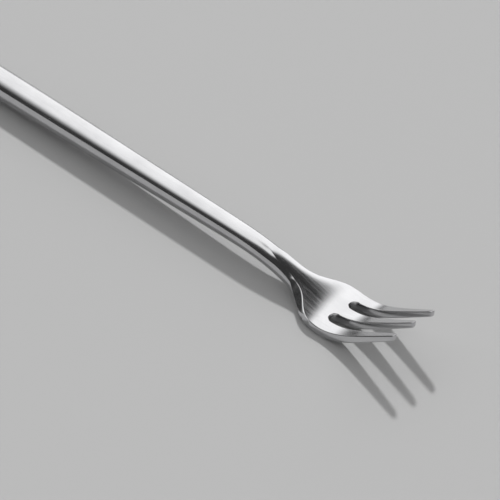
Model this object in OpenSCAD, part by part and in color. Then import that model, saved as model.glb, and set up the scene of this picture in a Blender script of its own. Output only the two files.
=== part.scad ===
// Bar fork: a forged three-tined head brazed into a long hollow handle with a domed end
// Built along the handle's own axis, with the neck at x = 0 and the tips towards +X,
// then laid down on its belly and the back of its handle.

/* [Head] */
// Distance from the neck to the tips, along the handle's axis
tip_reach = 30.7; // [26:0.1:40]
// Width that the head's straight sides would have if they ran back to the neck
shoulder_w = 16.7; // [13:0.1:20]
// Width over the three tips
tip_span = 12.4; // [10.5:0.1:15]
// Thickness of the plate where the slots begin
plate_t = 2.4; // [1.8:0.05:3]
// Where the neck has widened halfway to the head
flare_x = 2.6; // [0.5:0.1:3.5]
// Length over which the neck widens, as the softness of that step
flare_soft = 1.9; // [1.2:0.1:2.6]
// How much the neck narrows as its upper side flattens
pinch = 0.45; // [0:0.05:0.6]
// Radius of the crown across the head where the neck flattens
crown_r = 5; // [4:0.1:10]
// How much higher the middle tine stands than a tine one pitch away from it
arch = 0.3; // [0:0.05:0.6]

/* [Tines] */
// Distance between the centre lines of the two slots
tine_pitch = 6; // [5.2:0.1:7.2]
// Width of each slot at its round root
slot_w = 2.7; // [2:0.05:3.2]
// Where the round roots of the slots begin
slot_root = 10.3; // [9:0.1:13]
// Width of each tine at its tip
tip_w = 1.3; // [1:0.05:1.8]
// Thickness of each tine at its tip
tip_t = 1.45; // [1:0.05:1.8]
// Length of the rounding at the end of each tine
tip_round = 0.75; // [0.4:0.05:1]
// Width and height of the small round along the upper edges
edge_top = 0.26; // [0.15:0.01:0.35]
// Width and height of the round along the lower edges
edge_bottom = 0.42; // [0.3:0.01:0.55]

/* [Side profile] */
// Where the neck bends down to the plate
drop_x = -11.5; // [-15:0.1:-10]
// Slope of the neck after that bend, in mm of fall per mm
drop_slope = 0.3; // [0.24:0.01:0.36]
// Softness of the bend at the neck
drop_soft = 3.5; // [2.6:0.1:4]
// Where the head bends up to the tines
rise_x = 12.9; // [11:0.1:15]
// Change of slope at that bend, in mm of rise per mm
rise_slope = 0.87; // [0.7:0.01:1]
// Softness of the bend at the tines
rise_soft = 2.9; // [2.5:0.1:4.5]

/* [Handle] */
// Diameter of the neck, where the handle is thinnest
neck_d = 4.9; // [4.2:0.1:6]
// Diameter of the tube at its far end
rear_d = 8.2; // [7:0.1:10]
// How late the bar swells from the neck to its far end, where 1 is an even swell
swell = 1.43; // [1:0.01:1.8]
// Distance from the neck back to the joint between head and tube
neck_l = 24; // [20:0.5:30]
// Length of the handle tube
tube_l = 121.5; // [90:0.5:170]
// Wall of the tube
wall = 0.9; // [0.7:0.05:1.2]
// Length of the domed end beyond the tube
dome_l = 3.4; // [2:0.1:5]

/* [Joints] */
// Length of the head's spigot inside the tube
spigot_l = 14; // [10:0.5:20]
// Length of the end cap's spigot inside the tube
cap_spigot_l = 6; // [4:0.5:10]
// Radial gap that the brazing metal fills
braze_gap = 0.05; // [0.02:0.01:0.1]
// Thickness of the ring of brazing metal in the mouth at each joint
braze_wire = 0.3; // [0.2:0.05:0.35]
// Play around each ring of brazing metal
wire_play = 0.03; // [0.02:0.01:0.05]
// Chamfer at the inner ends of the spigots
spigot_chamfer = 0.6; // [0.3:0.1:0.9]

/* [Hidden] */
$fn = 64;
steel = [0.78, 0.78, 0.79];
tube_steel = [0.72, 0.73, 0.75];
cap_steel = [0.66, 0.67, 0.7];
braze_metal = [0.85, 0.72, 0.42];
joint_x = -neck_l;
rear_x = joint_x - tube_l;
thin_x = 1.7;           // the neck thins towards the plate here
thin_soft = 2.2;
flat_x = -3.5;          // the round neck gets the plate's narrow upper edges here
flat_soft = 2;
under_x = -0.3;         // and its narrow lower edges here
under_soft = 1.3;
crown_x = -2.5;         // the crown fades out towards the slots here
crown_soft = 2.2;
arch_x = 12;            // the arch across the tines begins here
arch_soft = 4;
taper_soft = 1.5;       // the tines begin to thin at the slots' roots
tube_steps = 14;
dome_steps = 10;
wire_facets = 24;
spigot_overlap = 2;     // how far the spigot is fused into the neck
hair = 0.001;           // slack in the tests of where a point lies

// A soft step from 0 to 1, and a soft bend from level to a slope of 1
function soft_step(x, at, soft) = 1 / (1 + exp(-(x - at) / soft));
function soft_bend(x, at, soft) = soft * ln(1 + exp((x - at) / soft));
function mix(a, b, t) = a + (b - a) * t;
function clamp(t) = max(0, min(1, t));

// Diameter of the round bar: one late swell from the neck, over the joint, to the far end of the tube
function bar_d(x) = mix(neck_d, rear_d, pow(sin(90 * clamp(x / rear_x)), swell));

// How far the neck's upper side has flattened
function flat_share(x) = soft_step(x, flat_x, flat_soft);

// Outline of the head
function side_w(x) = mix(shoulder_w, tip_span, x / tip_reach);
function neck_w(x) = bar_d(x) - pinch * flat_share(x);
function half_w(x) = mix(neck_w(x), side_w(x), soft_step(x, flare_x, flare_soft)) / 2;

// Thickness, top line and belly line along the middle
taper_slope = (plate_t - tip_t) / soft_bend(tip_reach, slot_root, taper_soft);
function plate_thick(x) = plate_t - taper_slope * soft_bend(x, slot_root, taper_soft);
function thick(x) = mix(bar_d(x), plate_thick(x), soft_step(x, thin_x, thin_soft));
function top_line(x) = bar_d(x) / 2 - drop_slope * soft_bend(x, drop_x, drop_soft)
    + rise_slope * soft_bend(x, rise_x, rise_soft);

// How far the skin lies below those lines away from the middle: a crown at the neck, an arch at the tines
function crown_share(x) = flat_share(x) * (1 - soft_step(x, crown_x, crown_soft));
function cross_drop(x, y) = crown_share(x) * y * y / (2 * crown_r)
    + arch * soft_step(x, arch_x, arch_soft) * pow(y / tine_pitch, 2);

// Rounds along the outer edges: half the width or thickness on the neck, the small rounds on the plate
function top_edge(x, whole) = mix(whole, edge_top, flat_share(x));
function bottom_edge(x, whole) = mix(whole, edge_bottom, soft_step(x, under_x, under_soft));

// Slots: a round root, then edges that run to the tips
slot_r = slot_w / 2;
slot_c = slot_root + slot_r;
root_parts = 6;
root_angle = 90 / (root_parts + 0.5);
root_start = slot_c - slot_r * cos(root_angle / 2);
function slot_run(x) = clamp((x - slot_c) / (tip_reach - slot_c));
function root_gap(x) = slot_r * sin(acos(clamp((slot_c - max(x, root_start)) / slot_r)));
function slot_in(x) = x < slot_c ? tine_pitch / 2 - root_gap(x)
    : mix(tine_pitch / 2 - slot_r, tip_w / 2, slot_run(x));
function slot_out(x) = x < slot_c ? tine_pitch / 2 + root_gap(x)
    : mix(tine_pitch / 2 + slot_r, tip_span / 2 - tip_w, slot_run(x));

// Each tine's end is half an ellipse in plan
function tip_share(x) = sqrt(1 - pow(clamp((x - tip_reach + tip_round) / tip_round), 2));
function narrowed(x, a, b) = let (c = (a + b) / 2, h = (b - a) / 2 * tip_share(x)) [c - h, c + h];
function tines(x) = [
    narrowed(x, -half_w(x), -slot_out(x)),
    narrowed(x, -slot_in(x), slot_in(x)),
    narrowed(x, slot_out(x), half_w(x))
];

// How far a point is into an edge's round: 0 inside it, 1 on the edge itself
function into(distance, size) = clamp(1 - distance / size);
function slot_into(x, y, size) = x < slot_c
    ? into(norm([x - slot_c, abs(y) - tine_pitch / 2]) - slot_r, size)
    : max([for (t = tines(x)) (y >= t[0] - hair && y <= t[1] + hair)
        ? into(min(y - t[0], t[1] - y), min(size, (t[1] - t[0]) / 2)) : 0]);
function outer_into(x, y, size) = x < slot_c ? into(half_w(x) - abs(y), size) : 0;
function round_fall(x, y, size, outer_size) =
    1 - sqrt(max(0, 1 - pow(slot_into(x, y, size), 2) - pow(outer_into(x, y, outer_size), 2)
        - pow(into(tip_reach - x, size), 2)));

function top_z(x, y) = top_line(x) - cross_drop(x, y)
    - top_edge(x, thick(x) / 2) * round_fall(x, y, edge_top, top_edge(x, half_w(x)));
function bottom_z(x, y) = top_line(x) - cross_drop(x, y) - thick(x)
    + bottom_edge(x, thick(x) / 2) * round_fall(x, y, edge_bottom, bottom_edge(x, half_w(x)));

// Lengthwise lines of the head's skin: close together at each tine's edges
edge_parts = 4;
round_share = 0.96;     // most of a narrow tine's half width that its rounds take up
function tine_lines(t, size) =
    let (s = min(size, (t[1] - t[0]) / 2 * round_share))
    concat([for (k = [0:edge_parts]) t[0] + s * (1 - cos(90 * k / edge_parts))], [(t[0] + t[1]) / 2],
        [for (k = [edge_parts:-1:0]) t[1] - s * (1 - cos(90 * k / edge_parts))]);
lines_per_tine = 2 * edge_parts + 3;
line_count = 3 * lines_per_tine;
function plate_lines(x, size) = [for (t = tines(x)) each tine_lines(t, size)];
function neck_lines(x) = [for (j = [0:line_count - 1]) -half_w(x) * cos(180 * (j + 0.5) / line_count)];
// The neck's even lines become the tines' lines between these two stations
line_from = -4;
line_to = 8;
function line_share(x) = let (u = clamp((x - line_from) / (line_to - line_from))) u * u * (3 - 2 * u);
function lines(x, size) =
    let (a = neck_lines(x), b = plate_lines(x, size), t = line_share(x))
    [for (j = [0:line_count - 1]) mix(a[j], b[j], t)];

// Stations along the head: even on the neck, plate and tines, closer at the slots' roots and the tips
plate_x = -9;
root_steps = [1.2, 0.7, 0.4, 0.2, 0.07];
neck_parts = 10;
plate_parts = 27;
tine_parts = 18;
tip_parts = 5;
tip_angle = 78;
stations = concat(
    [for (k = [0:neck_parts - 1]) mix(joint_x, plate_x, k / neck_parts)],
    [for (k = [0:plate_parts - 1]) mix(plate_x, root_start - root_steps[0], k / plate_parts)],
    [for (s = root_steps) root_start - s],
    [for (k = [0:root_parts - 1]) slot_c - slot_r * cos(root_angle * (k + 0.5))],
    [for (k = [0:tine_parts - 1]) mix(slot_c, tip_reach - tip_round, k / tine_parts)],
    [for (k = [0:tip_parts]) tip_reach - tip_round * (1 - sin(tip_angle * k / tip_parts))]);
first_slot = len([for (x = stations) if (x < root_start - hair) x]);

// Skin of the head: for each station its upper points, then its lower points
skin_points = [for (x = stations) each concat(
    [for (y = lines(x, edge_top)) [x, y, top_z(x, y)]],
    [for (y = lines(x, edge_bottom)) [x, y, bottom_z(x, y)]])];
function up(i, j) = i * 2 * line_count + j;
function low(i, j) = up(i, j) + line_count;
function quad(a, b, c, d) = [[a, b, c], [a, c, d]];
tine_starts = [0, lines_per_tine, 2 * lines_per_tine];
tine_ends = [lines_per_tine - 1, 2 * lines_per_tine - 1, line_count - 1];
slot_lines = [tine_ends[0], tine_ends[1]];
function in_slot(i, j) = i >= first_slot && (j == slot_lines[0] || j == slot_lines[1]);
last = len(stations) - 1;
skin_faces = concat(
    // Upper and lower skins, open along the slots
    [for (i = [0:last - 1], j = [0:line_count - 2]) if (!in_slot(i, j))
        each quad(up(i, j), up(i, j + 1), up(i + 1, j + 1), up(i + 1, j))],
    [for (i = [0:last - 1], j = [0:line_count - 2]) if (!in_slot(i, j))
        each quad(low(i, j), low(i + 1, j), low(i + 1, j + 1), low(i, j + 1))],
    // Outer sides
    [for (i = [0:last - 1]) each quad(up(i, 0), up(i + 1, 0), low(i + 1, 0), low(i, 0))],
    [for (i = [0:last - 1])
        each quad(up(i, line_count - 1), low(i, line_count - 1),
            low(i + 1, line_count - 1), up(i + 1, line_count - 1))],
    // Walls of the slots, and the flat facet at each root
    [for (i = [first_slot:last - 1], j = slot_lines)
        each quad(up(i, j), low(i, j), low(i + 1, j), up(i + 1, j))],
    [for (i = [first_slot:last - 1], j = slot_lines)
        each quad(up(i, j + 1), up(i + 1, j + 1), low(i + 1, j + 1), low(i, j + 1))],
    [for (j = slot_lines)
        each quad(up(first_slot, j), up(first_slot, j + 1), low(first_slot, j + 1), low(first_slot, j))],
    // Ends of the tines, and the joint face
    [for (t = [0:2], j = [tine_starts[t]:tine_ends[t] - 1])
        each quad(up(last, j), up(last, j + 1), low(last, j + 1), low(last, j))],
    [for (j = [0:line_count - 2]) each quad(up(0, j), low(0, j), low(0, j + 1), up(0, j + 1))]);

// Laying the fork down: the belly's lowest point and the far end of the tube both touch z = 0
rest_angle = atan(max([for (p = skin_points) (-rear_d / 2 - p[2]) / (p[0] - rear_x)]));
rest_height = rear_d / 2 * cos(rest_angle) - rear_x * sin(rest_angle);
front_end = max([for (p = skin_points) p[0] * cos(rest_angle) - p[2] * sin(rest_angle)]);
back_end = (rear_x - dome_l) * cos(rest_angle);
module laid_down() {
    translate([-(front_end + back_end) / 2, 0, rest_height]) rotate([0, -rest_angle, 0]) children();
}

// A turned solid about the handle's axis, from points of radius and place along X
module turned(points) {
    rotate([0, 90, 0]) rotate_extrude() polygon(points);
}

// The tube's straight sockets, and the mouths that hold the rings with their play
front_bore = bar_d(joint_x) / 2 - wall;
rear_bore = rear_d / 2 - wall;
spigot_r = front_bore - braze_gap;
cap_spigot_r = rear_bore - braze_gap;
mouth = (braze_wire / 2 + wire_play) * (2 + sqrt(2)) - braze_gap;
socket_room = 1;
tube_stations = [for (k = [0:tube_steps]) joint_x - tube_l * k / tube_steps];
front_socket = joint_x - spigot_l - socket_room;
rear_socket = rear_x + cap_spigot_l + socket_room;
bore_stations = [for (x = tube_stations)
    if (x < front_socket - socket_room && x > rear_socket + socket_room) x];

module fork_head() {
    color(steel) laid_down() union() {
        polyhedron(points = skin_points, faces = skin_faces, convexity = 8);
        turned([[0, joint_x + spigot_overlap], [spigot_r, joint_x + spigot_overlap],
            [spigot_r, joint_x - spigot_l + spigot_chamfer],
            [spigot_r - spigot_chamfer, joint_x - spigot_l], [0, joint_x - spigot_l]]);
    }
}

module handle_tube() {
    color(tube_steel) laid_down() turned(concat(
        [for (x = tube_stations) [bar_d(x) / 2, x]],
        [[rear_bore + mouth, rear_x], [rear_bore, rear_x + mouth], [rear_bore, rear_socket]],
        [for (k = [len(bore_stations) - 1:-1:0]) [bar_d(bore_stations[k]) / 2 - wall, bore_stations[k]]],
        [[front_bore, front_socket], [front_bore, joint_x - mouth], [front_bore + mouth, joint_x]]));
}

module end_cap() {
    color(cap_steel) laid_down() turned(concat(
        [[0, rear_x + cap_spigot_l], [cap_spigot_r - spigot_chamfer, rear_x + cap_spigot_l],
            [cap_spigot_r, rear_x + cap_spigot_l - spigot_chamfer], [cap_spigot_r, rear_x]],
        [for (k = [0:dome_steps])
            [rear_d / 2 * cos(90 * k / dome_steps), rear_x - dome_l * sin(90 * k / dome_steps)]]));
}

// A ring of brazing metal in the chamfered mouth of the tube, round a spigot
module braze_ring(r, x) {
    translate([x, 0, 0]) rotate([0, 90, 0]) rotate_extrude()
        translate([r + wire_play + braze_wire / 2, 0]) circle(d = braze_wire, $fn = wire_facets);
}

module front_braze_ring() {
    color(braze_metal) laid_down() braze_ring(spigot_r, joint_x - wire_play - braze_wire / 2);
}

module rear_braze_ring() {
    color(braze_metal) laid_down() braze_ring(cap_spigot_r, rear_x + wire_play + braze_wire / 2);
}

fork_head();
handle_tube();
end_cap();
front_braze_ring();
rear_braze_ring();
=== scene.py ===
# Bar fork in polished steel: a forged three-tined head brazed to a long hollow handle
import bmesh
import bpy
import numpy as np
from mathutils import Matrix, Vector


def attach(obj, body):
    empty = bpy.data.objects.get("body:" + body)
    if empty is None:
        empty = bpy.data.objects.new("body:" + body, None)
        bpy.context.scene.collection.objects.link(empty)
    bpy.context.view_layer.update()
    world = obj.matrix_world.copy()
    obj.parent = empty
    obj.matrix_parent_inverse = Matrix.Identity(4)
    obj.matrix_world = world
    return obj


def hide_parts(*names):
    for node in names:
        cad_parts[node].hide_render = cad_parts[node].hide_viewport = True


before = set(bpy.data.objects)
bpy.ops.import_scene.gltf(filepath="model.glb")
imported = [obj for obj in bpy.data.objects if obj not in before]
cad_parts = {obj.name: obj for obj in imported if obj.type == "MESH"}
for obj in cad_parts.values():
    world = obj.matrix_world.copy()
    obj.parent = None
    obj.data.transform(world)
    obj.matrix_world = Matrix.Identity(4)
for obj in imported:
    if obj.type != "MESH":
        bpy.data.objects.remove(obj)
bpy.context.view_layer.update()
print("frame loaded")

mm = 0.001      # in metres

# Lengths are in millimetres, and x runs along the handle's own axis, from 0 at the neck towards the tips.
# The -Y side is the near one. A start, an end, a bend or a change is a pair: its place and its softness.
handleSizes = {
    "neckDiameter": 4.9,
    "rearDiameter": 8.2,
    "neckLength": 24,               # from the neck back to the joint between head and tube
    "tubeLength": 121.5,
    "swell": 1.43,                  # 1 would be an even swell
    "wall": 0.9,
    "boreRun": 1,                   # between each straight socket and the tapered bore
    "around": 192,                  # faces round the tube and the cap
    "outsideRings": 150,
    "boreRings": 30,
}
jointSizes = {
    "spigotLength": 14,             # of the head's spigot in the tube
    "gap": 0.05,                    # between each spigot and its socket
    "mouth": 0.565,                 # chamfer of each socket, which holds the brazing metal
    "chamfer": 0.6,                 # of each spigot's end
    "room": 1,                      # between each spigot's end and the bottom of its socket
}
handle, joint = handleSizes, jointSizes
jointX = -handle["neckLength"]
rearX = jointX - handle["tubeLength"]


def softStep(x, at, soft):
    # 0 before a place, 1 after it: (1 + tanh(distance / (2 * soft))) / 2
    return 0.5 * (1 + np.tanh((x - at) / (2 * soft)))


def softStretch(x, start, end):
    # 1 between two places: one soft step * (1 - the next)
    return softStep(x, *start) * (1 - softStep(x, *end))


def softBend(x, at, soft):
    # level before a place, slope 1 after it: soft * ln(1 + e ^ (distance / soft))
    return soft * np.logaddexp(0, (x - at) / soft)


def smoothMax(a, b, soft):
    # the higher of two values, with a round corner: (a + b + sqrt((a - b) ^ 2 + soft ^ 2)) / 2
    return (a + b + np.sqrt((a - b) ** 2 + soft ** 2)) / 2


def mix(a, b, t):
    # a at t = 0, b at t = 1
    return a + (b - a) * t


def barDiameter(x):
    # neck + (rear - neck) * sin(quarter turn * share of the way back) ^ swell
    back = np.clip(x / rearX, 0, 1)
    return mix(handle["neckDiameter"], handle["rearDiameter"], np.sin(np.pi / 2 * back) ** handle["swell"])


headSizes = {
    "tipReach": 30.7,
    "shoulderWidth": 16.7,          # of the straight sides, if they ran back to the neck
    "tipSpan": 12.4,
    "widenStart": (2.3, 2.08),      # the neck widens to the plate here
    "plateThickness": 2.4,
    "tipThickness": 1.45,
    "thinStart": (1.7, 2.2),        # and thins to it here
    "taperSoft": 1.5,               # the plate thins further, softly from the slots' roots on
    "tinePitch": 6,
    "slotWidth": 2.7,
    "slotRoot": 10.3,
    "tipWidth": 1.3,
    "tipRound": 0.75,
    "edgeTop": 0.26,                # small rounds above and below
    "edgeBottom": 0.42,
    "neckBend": (-11.5, 3.5),       # the side profile bends down here
    "neckSlope": 0.3,
    "headBend": (12.9, 2.9),        # and up to the tines here
    "headSlope": 0.87,
    "arch": 0.3,                    # how much higher the middle tine stands
    "archStart": (12, 4),
    "plateDrop": 0.17,              # how far the plate's upper side falls, one pitch from the middle
    "plateDropStart": (5, 2.5),
    "plateDropEnd": (12.5, 1.5),
    "flatDepth": 0.46,              # of the flat forged on top of the round neck
    "flatStart": (-9, 1),
    "flatEnd": (3, 1),
    "crownRadius": 5,               # across that flat, until it is level on the plate
    "crownEnd": (-2.5, 2.2),
    "creaseSoft": 0.02,             # where the flat meets the flanks
    "creaseWidth": 1.8,             # from the middle to the crease on the neck
    "creaseFlare": 0.33,            # share of the neck's widening that the crease follows
    "creaseEnd": (3.6, 1.5),        # the crease has gone out to the plate's edge here
    "flankSlope": (1.35, 0.85),     # of the straight near flank, on the neck and on the plate
    "flankChange": (1.5, 0.7),
    "nearFlankEnd": (2, 1),         # big rounds give way to small ones: near side, far side and below
    "farFlankEnd": (3.7, 1.5),
    "underEnd": (0.5, 1.4),
    "edgeFaces": 8,                 # across each small round
    "edgeShare": 0.96,              # of half a tine, the most that its lines take up
    "middleLines": 17,              # between the small rounds of a tine
    "gatherAt": -4,                 # the lines start to gather into tines here
    "gatherLength": 12,
    "pull": 0.93,                   # how much closer the lines lie along the crease
    "pullReach": 0.5,
    "pullStart": (-4, 1),
    "pullEnd": (8, 1),
    "neckStations": 50,             # places along each stretch
    "plateStations": 100,
    "approachStations": 24,
    "approachLength": 1.2,          # just before the slots, where the stations draw closer
    "rootStations": 20,             # over a quarter of a slot's round root
    "tineStations": 90,
    "tipStations": 18,
    "tipTurn": 82,                  # degrees of a tip's quarter round that have stations
}
head = headSizes
slotRadius = head["slotWidth"] / 2
slotCentre = head["slotRoot"] + slotRadius
rootAngle = np.pi / 2 / (head["rootStations"] + 0.5)            # from one station to the next round a root
rootStart = slotCentre - slotRadius * np.cos(rootAngle / 2)     # the first station in the slots


def halfWidth(x):
    # half the bar, softly stepping to the head's straight tapering sides
    sides = mix(head["shoulderWidth"], head["tipSpan"], x / head["tipReach"])
    return mix(barDiameter(x), sides, softStep(x, *head["widenStart"])) / 2


def thickness(x):
    # the bar's diameter, softly stepping to the plate, which thins from the slots to the tips
    taperStart = head["slotRoot"], head["taperSoft"]
    taper = softBend(x, *taperStart) / softBend(head["tipReach"], *taperStart)
    plate = mix(head["plateThickness"], head["tipThickness"], taper)
    return mix(barDiameter(x), plate, softStep(x, *head["thinStart"]))


def sag(x):
    # how far the side profile is above the handle's axis: a soft bend up at the head - one down at the neck
    down = head["neckSlope"] * softBend(x, *head["neckBend"])
    return head["headSlope"] * softBend(x, *head["headBend"]) - down


def crownDrop(x, y):
    # of the neck's flat: share * y squared / (2 * radius)
    share = softStretch(x, head["flatStart"], head["crownEnd"])
    return share * y ** 2 / (2 * head["crownRadius"])


def creaseLine(x):
    # from the middle to the flat's edge: width + share * widening, softly stepping to the plate's edge
    half = halfWidth(x)
    edge = head["creaseWidth"] + head["creaseFlare"] * (half - handle["neckDiameter"] / 2)
    return mix(edge, half, softStep(x, *head["creaseEnd"]))


def nearFlankDrop(x, y):
    # slope * distance outside the near crease; the far flank stays round
    slope = mix(*head["flankSlope"], softStep(x, *head["flankChange"]))
    return slope * (-y - creaseLine(x))


def plateDrop(x, y):
    # of the upper side between neck and slots: share * drop * (y / pitch) squared
    share = softStretch(x, head["plateDropStart"], head["plateDropEnd"])
    return share * head["plateDrop"] * (y / head["tinePitch"]) ** 2


def archDrop(x, y):
    # of both sides from the slots on: arch * share * (y / pitch) squared
    return head["arch"] * softStep(x, *head["archStart"]) * (y / head["tinePitch"]) ** 2


def tineEdges(x):
    # low and high edge of the three tines: round roots, straight sides, and half an ellipse at each tip
    inRoot = np.clip((slotCentre - np.maximum(x, rootStart)) / slotRadius, 0, 1)
    gap = slotRadius * np.sqrt(1 - inRoot ** 2)
    run = np.clip((x - slotCentre) / (head["tipReach"] - slotCentre), 0, 1)
    inner = mix(head["tinePitch"] / 2 - gap, head["tipWidth"] / 2, run)
    outer = mix(head["tinePitch"] / 2 + gap, head["tipSpan"] / 2 - head["tipWidth"], run)
    half = halfWidth(x)
    low = np.stack([-half, -inner, outer], axis=-1)
    high = np.stack([-outer, inner, half], axis=-1)
    end = np.clip((x - head["tipReach"] + head["tipRound"]) / head["tipRound"], 0, 1)
    share = np.sqrt(1 - end ** 2)[:, None]
    middle = (low + high) / 2
    reach = (high - low) / 2 * share
    return middle - reach, middle + reach


def crossLines(x, edge):
    # y of the lengthwise lines: -half * cos(even turns) round the neck, and on each tine even lines between
    # two small rounds of 1 - cos(even turns); a bell curve then draws them in along the neck's creases
    low, high = tineEdges(x)
    band = np.minimum(edge, (high - low) / 2 * head["edgeShare"])[..., None]
    turn = 1 - np.cos(np.linspace(0, np.pi / 2, head["edgeFaces"] + 1))
    inside = np.linspace(0, 1, head["middleLines"] + 2)[1:-1]
    left = low[..., None] + band * turn
    middle = low[..., None] + band + ((high - low)[..., None] - 2 * band) * inside
    right = high[..., None] - band * turn[::-1]
    tines = np.concatenate([left, middle, right], axis=-1).reshape(len(x), -1)
    count = tines.shape[1]
    even = -halfWidth(x)[:, None] * np.cos(np.pi * (np.arange(count) + 0.5) / count)
    share = np.clip((x - head["gatherAt"]) / head["gatherLength"], 0, 1)[:, None]
    y = mix(even, tines, share * share * (3 - 2 * share))
    crease = creaseLine(x)[:, None] * np.sign(y)
    pull = head["pull"] * softStretch(x[:, None], head["pullStart"], head["pullEnd"])
    return crease + (y - crease) * (1 - pull * np.exp(-((y - crease) / head["pullReach"]) ** 2))


def into(distance, size):
    # 1 on an edge, 0 from the round's size away
    return np.clip(1 - distance / size, 0, 1)


def roundFall(x, y, size, outerSize):
    # share of a round's height that is lost: 1 - sqrt(1 - slot ^ 2 - outer ^ 2 - tip ^ 2), each of them how
    # far a point is into the round at a slot, at the outer edge or at a tip
    low, high = tineEdges(x)
    perTine = y.shape[1] // 3
    low, high = np.repeat(low, perTine, axis=1), np.repeat(high, perTine, axis=1)
    along = x[:, None]
    half = halfWidth(x)[:, None]
    ring = np.hypot(along - slotCentre, np.abs(y) - head["tinePitch"] / 2) - slotRadius
    sides = into(np.minimum(y - low, high - y), np.minimum(size, (high - low) / 2))
    slot = np.where(along < slotCentre, into(ring, size), sides)
    outer = np.where(along < slotCentre, into(half - np.abs(y), outerSize), 0)
    tip = into(head["tipReach"] - along, size)
    return 1 - np.sqrt(np.maximum(0, 1 - slot ** 2 - outer ** 2 - tip ** 2))


def lowerSkin(x):
    # bar's top - arch - thickness + rounds, which are half the bar on the neck and small on the plate
    small = head["edgeBottom"]
    y = crossLines(x, small)
    along = x[:, None]
    thick = thickness(along)
    share = softStep(along, *head["underEnd"])
    rise = mix(thick / 2, small, share) * roundFall(x, y, small, mix(halfWidth(along), small, share))
    z = barDiameter(along) / 2 - archDrop(along, y) - thick + rise
    return np.stack([np.broadcast_to(along, y.shape), y, z], axis=-1)


def upperSkin(x):
    # bar's top - arch - plate's drop - the deepest of crowned flat, rounds and straight near flank; on the
    # neck the rounds start above the flat by its depth, so that it cuts them off
    small = head["edgeTop"]
    y = crossLines(x, small)
    along = x[:, None]
    flat = softStretch(along, head["flatStart"], head["flatEnd"])
    cut = head["flatDepth"] * flat
    nearShare, farShare = softStep(along, *head["nearFlankEnd"]), softStep(along, *head["farFlankEnd"])
    share = np.where(y < 0, nearShare, farShare)
    size = mix(thickness(along) / 2 + cut, small, share)
    fall = size * roundFall(x, y, small, mix(halfWidth(along), small, share)) - cut
    fall = smoothMax(crownDrop(along, y), fall, head["creaseSoft"] * flat)
    fall = smoothMax(fall, nearFlankDrop(along, y), head["creaseSoft"])
    z = barDiameter(along) / 2 - archDrop(along, y) - plateDrop(along, y) - fall
    return np.stack([np.broadcast_to(along, y.shape), y, z], axis=-1)


def headStations():
    # places along the head: even on neck, plate and tines, by sine or cosine at the slots' roots and tips
    flatStart, approach = head["flatStart"][0], head["approachLength"]
    nearRoot = rootStart - approach
    approachTurns = np.linspace(0, np.pi / 2, head["approachStations"])[:-1]
    rootTurns = rootAngle * (np.arange(head["rootStations"]) + 0.5)
    tipStart = head["tipReach"] - head["tipRound"]
    tipTurns = np.radians(np.linspace(0, head["tipTurn"], head["tipStations"]))
    return np.concatenate([
        np.linspace(jointX, flatStart, head["neckStations"], endpoint=False),
        np.linspace(flatStart, nearRoot, head["plateStations"], endpoint=False),
        nearRoot + approach * np.sin(approachTurns),
        slotCentre - slotRadius * np.cos(rootTurns),
        np.linspace(slotCentre, tipStart, head["tineStations"], endpoint=False),
        tipStart + head["tipRound"] * np.sin(tipTurns),
    ])


def strips(a, b, c, d):
    # quads from equal arrays of their four corners
    return np.stack([a, b, c, d], axis=-1).reshape(-1, 4)


def headFaces(stationCount, lineCount, firstSlot):
    # quads of the closed skin, counter-clockwise from outside
    up = np.arange(stationCount)[:, None] * 2 * lineCount + np.arange(lineCount)
    low = up + lineCount
    slotLines = np.array([lineCount // 3 - 1, 2 * lineCount // 3 - 1])
    # the upper and the lower skin, open at the slots
    kept = np.ones((stationCount - 1, lineCount - 1), bool)
    kept[firstSlot:, slotLines] = False
    a, b, c, d = up[:-1, :-1], up[1:, :-1], up[1:, 1:], up[:-1, 1:]
    faces = [strips(a[kept], b[kept], c[kept], d[kept])]
    a, b, c, d = low[:-1, :-1], low[:-1, 1:], low[1:, 1:], low[1:, :-1]
    faces.append(strips(a[kept], b[kept], c[kept], d[kept]))
    # the two outer sides
    faces.append(strips(up[:-1, 0], low[:-1, 0], low[1:, 0], up[1:, 0]))
    faces.append(strips(up[:-1, -1], up[1:, -1], low[1:, -1], low[:-1, -1]))
    # both walls of each slot and the middle of its root
    u, w = up[firstSlot:], low[firstSlot:]
    for j in slotLines:
        faces.append(strips(u[:-1, j], u[1:, j], w[1:, j], w[:-1, j]))
        faces.append(strips(u[:-1, j + 1], w[:-1, j + 1], w[1:, j + 1], u[1:, j + 1]))
        faces.append(strips(u[:1, j], w[:1, j], w[:1, j + 1], u[:1, j + 1]))
    # the end of each tip
    for j in range(3):
        ends = slice(j * lineCount // 3, (j + 1) * lineCount // 3)
        u, w = up[-1, ends], low[-1, ends]
        faces.append(strips(u[:-1], w[:-1], w[1:], u[1:]))
    # the spigot's end
    faces.append(strips(up[0, :-1], up[0, 1:], low[0, 1:], low[0, :-1]))
    return np.concatenate(faces)


def spigotRings(ring):
    # copies of the joint's ring, each * its radius / the bar's: end, chamfer and side of the spigot
    radius = barDiameter(np.array(jointX)) / 2
    inner = radius - handle["wall"] - joint["gap"]
    end = jointX - joint["spigotLength"]
    places = [(0.0, end), (inner - joint["chamfer"], end), (inner, end + joint["chamfer"]), (inner, jointX)]
    centre = np.array([jointX, 0, 0])
    return np.stack([(ring - centre) * (r / radius) + np.array([x, 0, 0]) for r, x in places])


def straightHead():
    # spigot and skin of the head, before its side profile is put on
    x = headStations()
    skin = np.concatenate([upperSkin(x), lowerSkin(x)], axis=1)
    rings = spigotRings(skin[0])
    firstSlot = int(np.argmin(np.abs(x - rootStart))) + len(rings)
    points = np.concatenate([rings, skin])
    faces = headFaces(len(points), skin.shape[1] // 2, firstSlot)
    return points.reshape(-1, 3), faces


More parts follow.
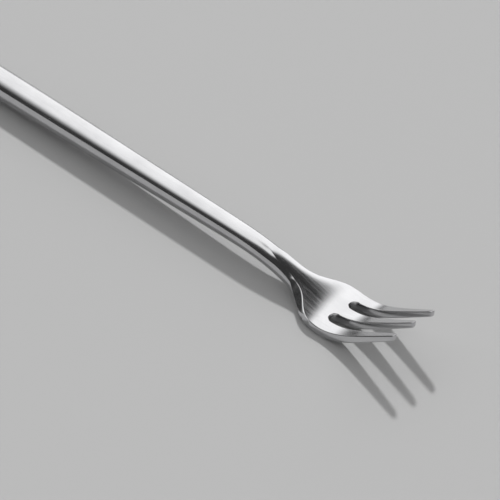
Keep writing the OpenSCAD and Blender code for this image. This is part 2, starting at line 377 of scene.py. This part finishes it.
def turned(profile, around):
    # a closed profile of (radius, x) carried round the handle's axis: y = radius * sin, z = radius * cos
    angle = np.linspace(0, 2 * np.pi, around, endpoint=False)
    radius, x = profile[:, 0][:, None], profile[:, 1][:, None]
    points = np.stack([x + 0 * angle, radius * np.sin(angle), radius * np.cos(angle)], axis=-1)
    index = np.arange(len(profile) * around).reshape(len(profile), around)
    a, b = index, np.roll(index, -1, axis=0)
    return points.reshape(-1, 3), strips(a, np.roll(a, -1, axis=1), np.roll(b, -1, axis=1), b)


capSizes = {
    "domeLength": 3.4,
    "domeRings": 28,
    "spigotLength": 6,
}
cap = capSizes


def tubeProfile():
    # outside from the joint to the far end, then the two straight sockets and the tapered bore between them
    wall, mouth, run = handle["wall"], joint["mouth"], handle["boreRun"]
    x = np.linspace(jointX, rearX, handle["outsideRings"])
    outside = np.stack([barDiameter(x) / 2, x], axis=-1)
    frontSocket = jointX - joint["spigotLength"] - joint["room"]
    rearSocket = rearX + cap["spigotLength"] + joint["room"]
    frontBore, rearBore = outside[0, 0] - wall, outside[-1, 0] - wall
    rear = [[rearBore + mouth, rearX], [rearBore, rearX + mouth], [rearBore, rearSocket]]
    x = np.linspace(rearSocket + run, frontSocket - run, handle["boreRings"])
    bore = np.stack([barDiameter(x) / 2 - wall, x], axis=-1)
    front = [[frontBore, frontSocket], [frontBore, jointX - mouth], [frontBore + mouth, jointX]]
    return np.concatenate([outside, rear, bore, front])


def capProfile():
    # the spigot inside the tube, then a quarter ellipse for the dome
    radius = handle["rearDiameter"] / 2
    inner = radius - handle["wall"] - joint["gap"]
    chamfer = joint["chamfer"]
    end = rearX + cap["spigotLength"]
    spigot = [[0, end], [inner - chamfer, end], [inner, end - chamfer], [inner, rearX]]
    turn = np.linspace(0, np.pi / 2, cap["domeRings"])
    dome = np.stack([radius * np.cos(turn), rearX - cap["domeLength"] * np.sin(turn)], axis=-1)
    dome[-1, 0] = 0
    return np.concatenate([spigot, dome])


headPoints, headQuads = straightHead()
tubePoints, tubeQuads = turned(tubeProfile(), handle["around"])
capPoints, capQuads = turned(capProfile(), handle["around"])


def bent(points):
    # the straight fork with its side profile put on: z + sag
    return points + np.stack([0 * points[:, 0], 0 * points[:, 0], sag(points[:, 0])], axis=-1)


# The fork lies on its belly and on the far end of its tube: the lowest line between the two is turned level
rearRadius = handle["rearDiameter"] / 2
belly = bent(headPoints)
restAngle = np.arctan(np.max((-rearRadius - belly[:, 2]) / (belly[:, 0] - rearX)))
restHeight = rearRadius * np.cos(restAngle) - rearX * np.sin(restAngle)
frontEnd = np.max(belly[:, 0] * np.cos(restAngle) - belly[:, 2] * np.sin(restAngle))
backEnd = (rearX - cap["domeLength"]) * np.cos(restAngle)
middleX = (frontEnd + backEnd) / 2


def laidDown(points):
    # turned about Y by the rest angle, raised to the floor and centred
    x, y, z = points.T
    across = x * np.cos(restAngle) - z * np.sin(restAngle) - middleX
    above = x * np.sin(restAngle) + z * np.cos(restAngle) + restHeight
    return np.stack([across, y, above], axis=-1)


meshRules = {
    "merge": 1e-8,                  # metres, which closes the poles
    "sharp": 40,                    # degrees between faces, past which an edge isn't smooth
}


def makePiece(name, points, quads, node):
    # one closed mesh; "flow" keeps the straight fork's own place for the polish lines
    place = laidDown(bent(points)) * mm
    mesh = bpy.data.meshes.new(name)
    mesh.from_pydata(place, [], quads)
    flow = mesh.attributes.new("flow", "FLOAT_VECTOR", "POINT")
    flow.data.foreach_set("vector", points.astype(np.float32).ravel())
    work = bmesh.new()
    work.from_mesh(mesh)
    bmesh.ops.remove_doubles(work, verts=work.verts, dist=meshRules["merge"])
    work.to_mesh(mesh)
    work.free()
    mesh.validate()
    mesh.shade_smooth()
    mesh.set_sharp_from_angle(angle=np.radians(meshRules["sharp"]))
    piece = bpy.data.objects.new(name, mesh)
    bpy.context.scene.collection.objects.link(piece)
    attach(piece, "root")
    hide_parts(node)
    print("made", name, len(mesh.polygons), "faces")
    return piece


forkHead = makePiece("forkHead", headPoints, headQuads, "fork_head")
handleTube = makePiece("handleTube", tubePoints, tubeQuads, "handle_tube")
endCap = makePiece("endCap", capPoints, capQuads, "end_cap")


class Plug:
    # a shader socket that takes part in sums
    def __init__(self, paint, socket):
        self.paint, self.socket = paint, socket

    def calc(self, operation, *others):
        return self.paint.maths(operation, self, *others)

    def __add__(self, other):
        return self.calc("ADD", other)

    def __sub__(self, other):
        return self.calc("SUBTRACT", other)

    def __rsub__(self, other):
        return self.paint.maths("SUBTRACT", other, self)

    def __mul__(self, other):
        return self.calc("MULTIPLY", other)

    def __truediv__(self, other):
        return self.calc("DIVIDE", other)

    def __rtruediv__(self, other):
        return self.paint.maths("DIVIDE", other, self)

    def __abs__(self):
        return self.calc("ABSOLUTE")

    __radd__, __rmul__ = __add__, __mul__


class Paint:
    # the nodes of a material or of the world
    def __init__(self, owner):
        self.owner = owner
        owner.use_nodes = True
        self.tree = owner.node_tree
        self.tree.nodes.clear()

    def node(self, kind, settings=None, values=None, output=0):
        # a new node, with its settings made first and then its sockets set or linked; gives one output
        made = self.tree.nodes.new(kind)
        for key, setting in (settings or {}).items():
            setattr(made, key, setting)
        for key, value in (values or {}).items():
            if isinstance(value, Plug):
                self.tree.links.new(value.socket, made.inputs[key])
            else:
                made.inputs[key].default_value = value
        return Plug(self, made.outputs[output]) if len(made.outputs) else None

    def maths(self, operation, *terms):
        return self.node("ShaderNodeMath", {"operation": operation}, dict(enumerate(terms)))

    def noise(self, place, stretch, detail):
        # noise on a stretched place, 0.5 on average
        scaled = self.node("ShaderNodeVectorMath", {"operation": "MULTIPLY"}, {0: place, 1: stretch})
        values = {"Vector": scaled, "Scale": 1, "Detail": detail, "Roughness": 0.5}
        return self.node("ShaderNodeTexNoise", None, values)

    def between(self, value, empty, full, least=0.0, most=1.0):
        # least where the value is at empty, most where it is at full, and an S-curve on the way
        values = {"Value": value, 1: empty, 2: full, 3: least, 4: most}
        return self.node("ShaderNodeMapRange", {"interpolation_type": "SMOOTHSTEP"}, values)

    def dot(self, vector, direction):
        values = {0: vector, 1: direction}
        return self.node("ShaderNodeVectorMath", {"operation": "DOT_PRODUCT"}, values, "Value")

    def colour(self, share, low, high):
        # sockets 6 and 7 are the two colours, and output 2 is the mixed one
        return self.node("ShaderNodeMix", {"data_type": "RGBA"}, {0: share, 6: low, 7: high}, 2)

    def relief(self, height):
        # a height in metres as a normal
        values = {"Height": height, "Strength": 1, "Distance": 1}
        return self.node("ShaderNodeBump", None, values, "Normal")

    def metal(self, colour, roughness, normal):
        values = {"Base Color": colour, "Metallic": 1, "Roughness": roughness, "Normal": normal}
        return self.finish(self.node("ShaderNodeBsdfPrincipled", None, values))

    def finish(self, surface, output="ShaderNodeOutputMaterial"):
        # the surface goes to the output, and the finished material or world comes back
        self.node(output, None, {"Surface": surface})
        return self.owner


steelLook = {
    "pale": (0.64, 0.64, 0.65, 1),
    "deep": (0.56, 0.56, 0.57, 1),
    "cloudTone": 0.7,               # share of the clouds in the tone; broad lines have the rest
    "toneEdges": (0.3, 0.7),
    "roughness": 0.13,
    "cloud": (0.12, 0.3, 0.3),      # wiping marks: noise cells in a mm along the fork, across it and up
    "cloudRoughness": 0.05,
    "fineLine": (0.10, 9, 9),       # polish lines, in the same way
    "broadLine": (0.05, 2.2, 2.2),
    "broadShare": 0.7,
    "lineRoughness": 0.14,
    "lineHeight": 0.0000006,        # metres
    "hair": (0.5, 1.6, 1.6),        # hairlines, where a noise is at its middle level
    "hairWidth": 0.004,             # how far from that level they reach
    "hairPatch": (0.25, 0.5, 0.5),
    "patchEdges": (0.5, 0.62),
    "hairRoughness": 0.1,
    "hairHeight": 0.0000008,        # metres
}


def polishedSteel(name, look):
    # polish lines run along the fork, hairlines cross them in patches, clouds vary the gloss
    paint = Paint(bpy.data.materials.new(name))
    flow = paint.node("ShaderNodeAttribute", {"attribute_name": "flow"}, None, "Vector")
    fine = paint.noise(flow, look["fineLine"], 3)
    broad = paint.noise(flow, look["broadLine"], 2)
    cloud = paint.noise(flow, look["cloud"], 3)
    hairLine = paint.between(abs(paint.noise(flow, look["hair"], 1) - 0.5), look["hairWidth"], 0)
    patch = paint.between(paint.noise(flow, look["hairPatch"], 2), *look["patchEdges"])
    hair = hairLine * patch
    lines = fine * (1 - look["broadShare"]) + broad * look["broadShare"]
    roughness = look["roughness"] + (cloud - 0.5) * (2 * look["cloudRoughness"])
    roughness = roughness + (lines - 0.5) * (2 * look["lineRoughness"]) + hair * look["hairRoughness"]
    height = lines * look["lineHeight"] - hair * look["hairHeight"]
    tone = cloud * look["cloudTone"] + broad * (1 - look["cloudTone"])
    colour = paint.colour(paint.between(tone, *look["toneEdges"]), look["deep"], look["pale"])
    return paint.metal(colour, roughness, paint.relief(height))


headSteel = polishedSteel("headSteel", steelLook)
tubeSteel = polishedSteel("tubeSteel", steelLook)
steelPieces = (
    (forkHead, "head_steel", headSteel),
    (handleTube, "tube_steel", tubeSteel),
    (endCap, "cap_steel", tubeSteel),
)
for piece, slot, steel in steelPieces:
    piece.data.materials.append(steel)

brazeLook = {
    "bright": (0.83, 0.7, 0.42, 1),
    "dull": (0.62, 0.5, 0.3, 1),
    "toneEdges": (0.35, 0.65),
    "grain": (2500, 2500, 2500),    # noise cells in a metre
    "grainHeight": 0.00001,         # metres
    "roughness": 0.25,
    "grainRoughness": 0.25,
}


def castBraze(name, look):
    # once-molten brazing metal: soft ripples and a duller grain
    paint = Paint(bpy.data.materials.new(name))
    place = paint.node("ShaderNodeTexCoord", None, None, "Object")
    ripple = paint.noise(place, look["grain"], 3)
    colour = paint.colour(paint.between(ripple, *look["toneEdges"]), look["dull"], look["bright"])
    roughness = look["roughness"] + ripple * look["grainRoughness"]
    return paint.metal(colour, roughness, paint.relief(ripple * look["grainHeight"]))


braze = castBraze("brazeMetal", brazeLook)
for name in ("front_braze_ring", "rear_braze_ring"):
    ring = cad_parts[name]
    ring.data.materials.clear()
    ring.data.materials.append(braze)
print("materials made")

floorLook = {
    "colour": (0.5, 0.5, 0.5, 1),
    "roughness": 0.8,
    "size": 80.0,                   # metres, so that its far edge lies close to the horizon
}


def makeFloor(look):
    # a square at height 0 round the origin
    paint = Paint(bpy.data.materials.new("paleFloor"))
    values = {"Base Color": look["colour"], "Roughness": look["roughness"]}
    half = look["size"] / 2
    corners = [(-half, -half, 0), (half, -half, 0), (half, half, 0), (-half, half, 0)]
    mesh = bpy.data.meshes.new("floor")
    mesh.from_pydata(corners, [], [(0, 1, 2, 3)])
    mesh.materials.append(paint.finish(paint.node("ShaderNodeBsdfPrincipled", None, values)))
    floor = bpy.data.objects.new("floor", mesh)
    bpy.context.scene.collection.objects.link(floor)


makeFloor(floorLook)

# A tall soft window on the handle's side of the fork; its lengths are for one metre of distance
windowLook = {
    "facing": 170,                  # degrees round from +X
    "left": (-2.9, -2.3),           # where it starts and where it is full
    "right": (2.1, 1.4),
    "top": 2.2,
    "topSlope": 0.8,                # how much higher it gets towards the right
    "topSoft": 0.4,
    "foot": 0.38,
    "footSlope": 0.48,
    "footSoft": 0.28,
    "footSoftSlope": 0.22,
    "footSoftLeast": 0.08,
    "strength": 1.28,
    "strengthSlope": -0.13,
    "opposite": 0.55,               # share of it that a second window has, behind the viewer
    "room": 0.05,
    "nearLeast": 0.001,             # keeps the division by near safe
}


def windowLight(look):
    # light = width * top * foot * strength + room, each by aside and high, which are where the direction
    # meets an upright plane a metre away; soft edges bound both
    paint = Paint(bpy.data.worlds.new("studio"))
    direction = paint.node("ShaderNodeTexCoord", None, None, "Generated")
    turn = np.radians(look["facing"])
    toward = paint.dot(direction, (np.cos(turn), np.sin(turn), 0))
    near = abs(toward).calc("MAXIMUM", look["nearLeast"])
    side = toward.calc("SIGN")      # 1 at the window, -1 at the one opposite
    aside = paint.dot(direction, (-np.sin(turn), np.cos(turn), 0)) * side / near
    high = paint.dot(direction, (0, 0, 1)) / near
    width = paint.between(aside, *look["left"]) * paint.between(aside, *look["right"])
    top = high - aside.calc("MAXIMUM", 0) * look["topSlope"]
    inTop = paint.between(top, look["top"] + look["topSoft"], look["top"] - look["topSoft"])
    soft = (aside * look["footSoftSlope"] + look["footSoft"]).calc("MAXIMUM", look["footSoftLeast"])
    foot = (high - aside * look["footSlope"] - look["foot"]) / soft
    inFoot = paint.between(foot, -1, 1)
    share = paint.between(side, -1, 1, look["opposite"], 1)
    strength = (aside * look["strengthSlope"] + look["strength"]) * share
    light = width * inTop * inFoot * strength + look["room"]
    surface = paint.node("ShaderNodeBackground", None, {"Color": (1, 1, 1, 1), "Strength": light})
    return paint.finish(surface, "ShaderNodeOutputWorld")


bpy.context.scene.world = windowLight(windowLook)

cameraSettings = {
    "elevation": 36.53,             # degrees above the floor
    "heading": 47.32,               # degrees that the view is turned from looking along +Y
    "distance": 342.2,              # mm to the floor under the neck
    "aside": -12.0,                 # mm that the eye is moved to its right
    "raised": 9.85,                 # mm that it is moved up its own frame
    "lens": 115.2,                  # mm
    "sensor": 36,                   # mm
    "nearest": 10,                  # mm to the closest thing that it can show
}


def placeCamera(settings):
    # eye = foot of the neck - look * distance + right * aside + above * raised
    heading, elevation = np.radians(settings["heading"]), np.radians(settings["elevation"])
    right = np.array([np.cos(heading), np.sin(heading), 0])
    away = np.array([-np.sin(heading), np.cos(heading), 0])
    upward = np.array([0, 0, 1.0])
    look = away * np.cos(elevation) - upward * np.sin(elevation)
    above = np.cross(right, look)
    neckFoot = np.array([-middleX, 0, 0])
    eye = neckFoot - look * settings["distance"] + right * settings["aside"] + above * settings["raised"]
    lens = bpy.data.cameras.new("camera")
    lens.lens = settings["lens"]
    lens.sensor_width = settings["sensor"]
    lens.clip_start = settings["nearest"] * mm
    camera = bpy.data.objects.new("camera", lens)
    camera.matrix_world = Matrix.Translation(eye * mm) @ Matrix((right, above, -look)).transposed().to_4x4()
    bpy.context.scene.collection.objects.link(camera)
    bpy.context.scene.camera = camera


placeCamera(cameraSettings)

keyLook = {
    "bearing": 135.7,               # degrees round from +X
    "height": 41.6,                 # degrees above the floor
    "strength": 2.2,
    "softness": 4,                  # degrees across
}


def placeKey(look):
    # one far lamp beyond the fork, without gloss of its own: its shadows fall towards the viewer
    lamp = bpy.data.lights.new("key", "SUN")
    lamp.energy = look["strength"]
    lamp.angle = np.radians(look["softness"])
    around, rise = np.radians(look["bearing"]), np.radians(look["height"])
    source = Vector((np.cos(around) * np.cos(rise), np.sin(around) * np.cos(rise), np.sin(rise)))
    key = bpy.data.objects.new("key", lamp)
    key.visible_glossy = False
    key.matrix_world = Matrix.Translation(source) @ source.to_track_quat("Z", "Y").to_matrix().to_4x4()
    bpy.context.scene.collection.objects.link(key)


placeKey(keyLook)
bpy.context.scene.view_settings.view_transform = "Standard"
print("stage, lamps and camera placed")
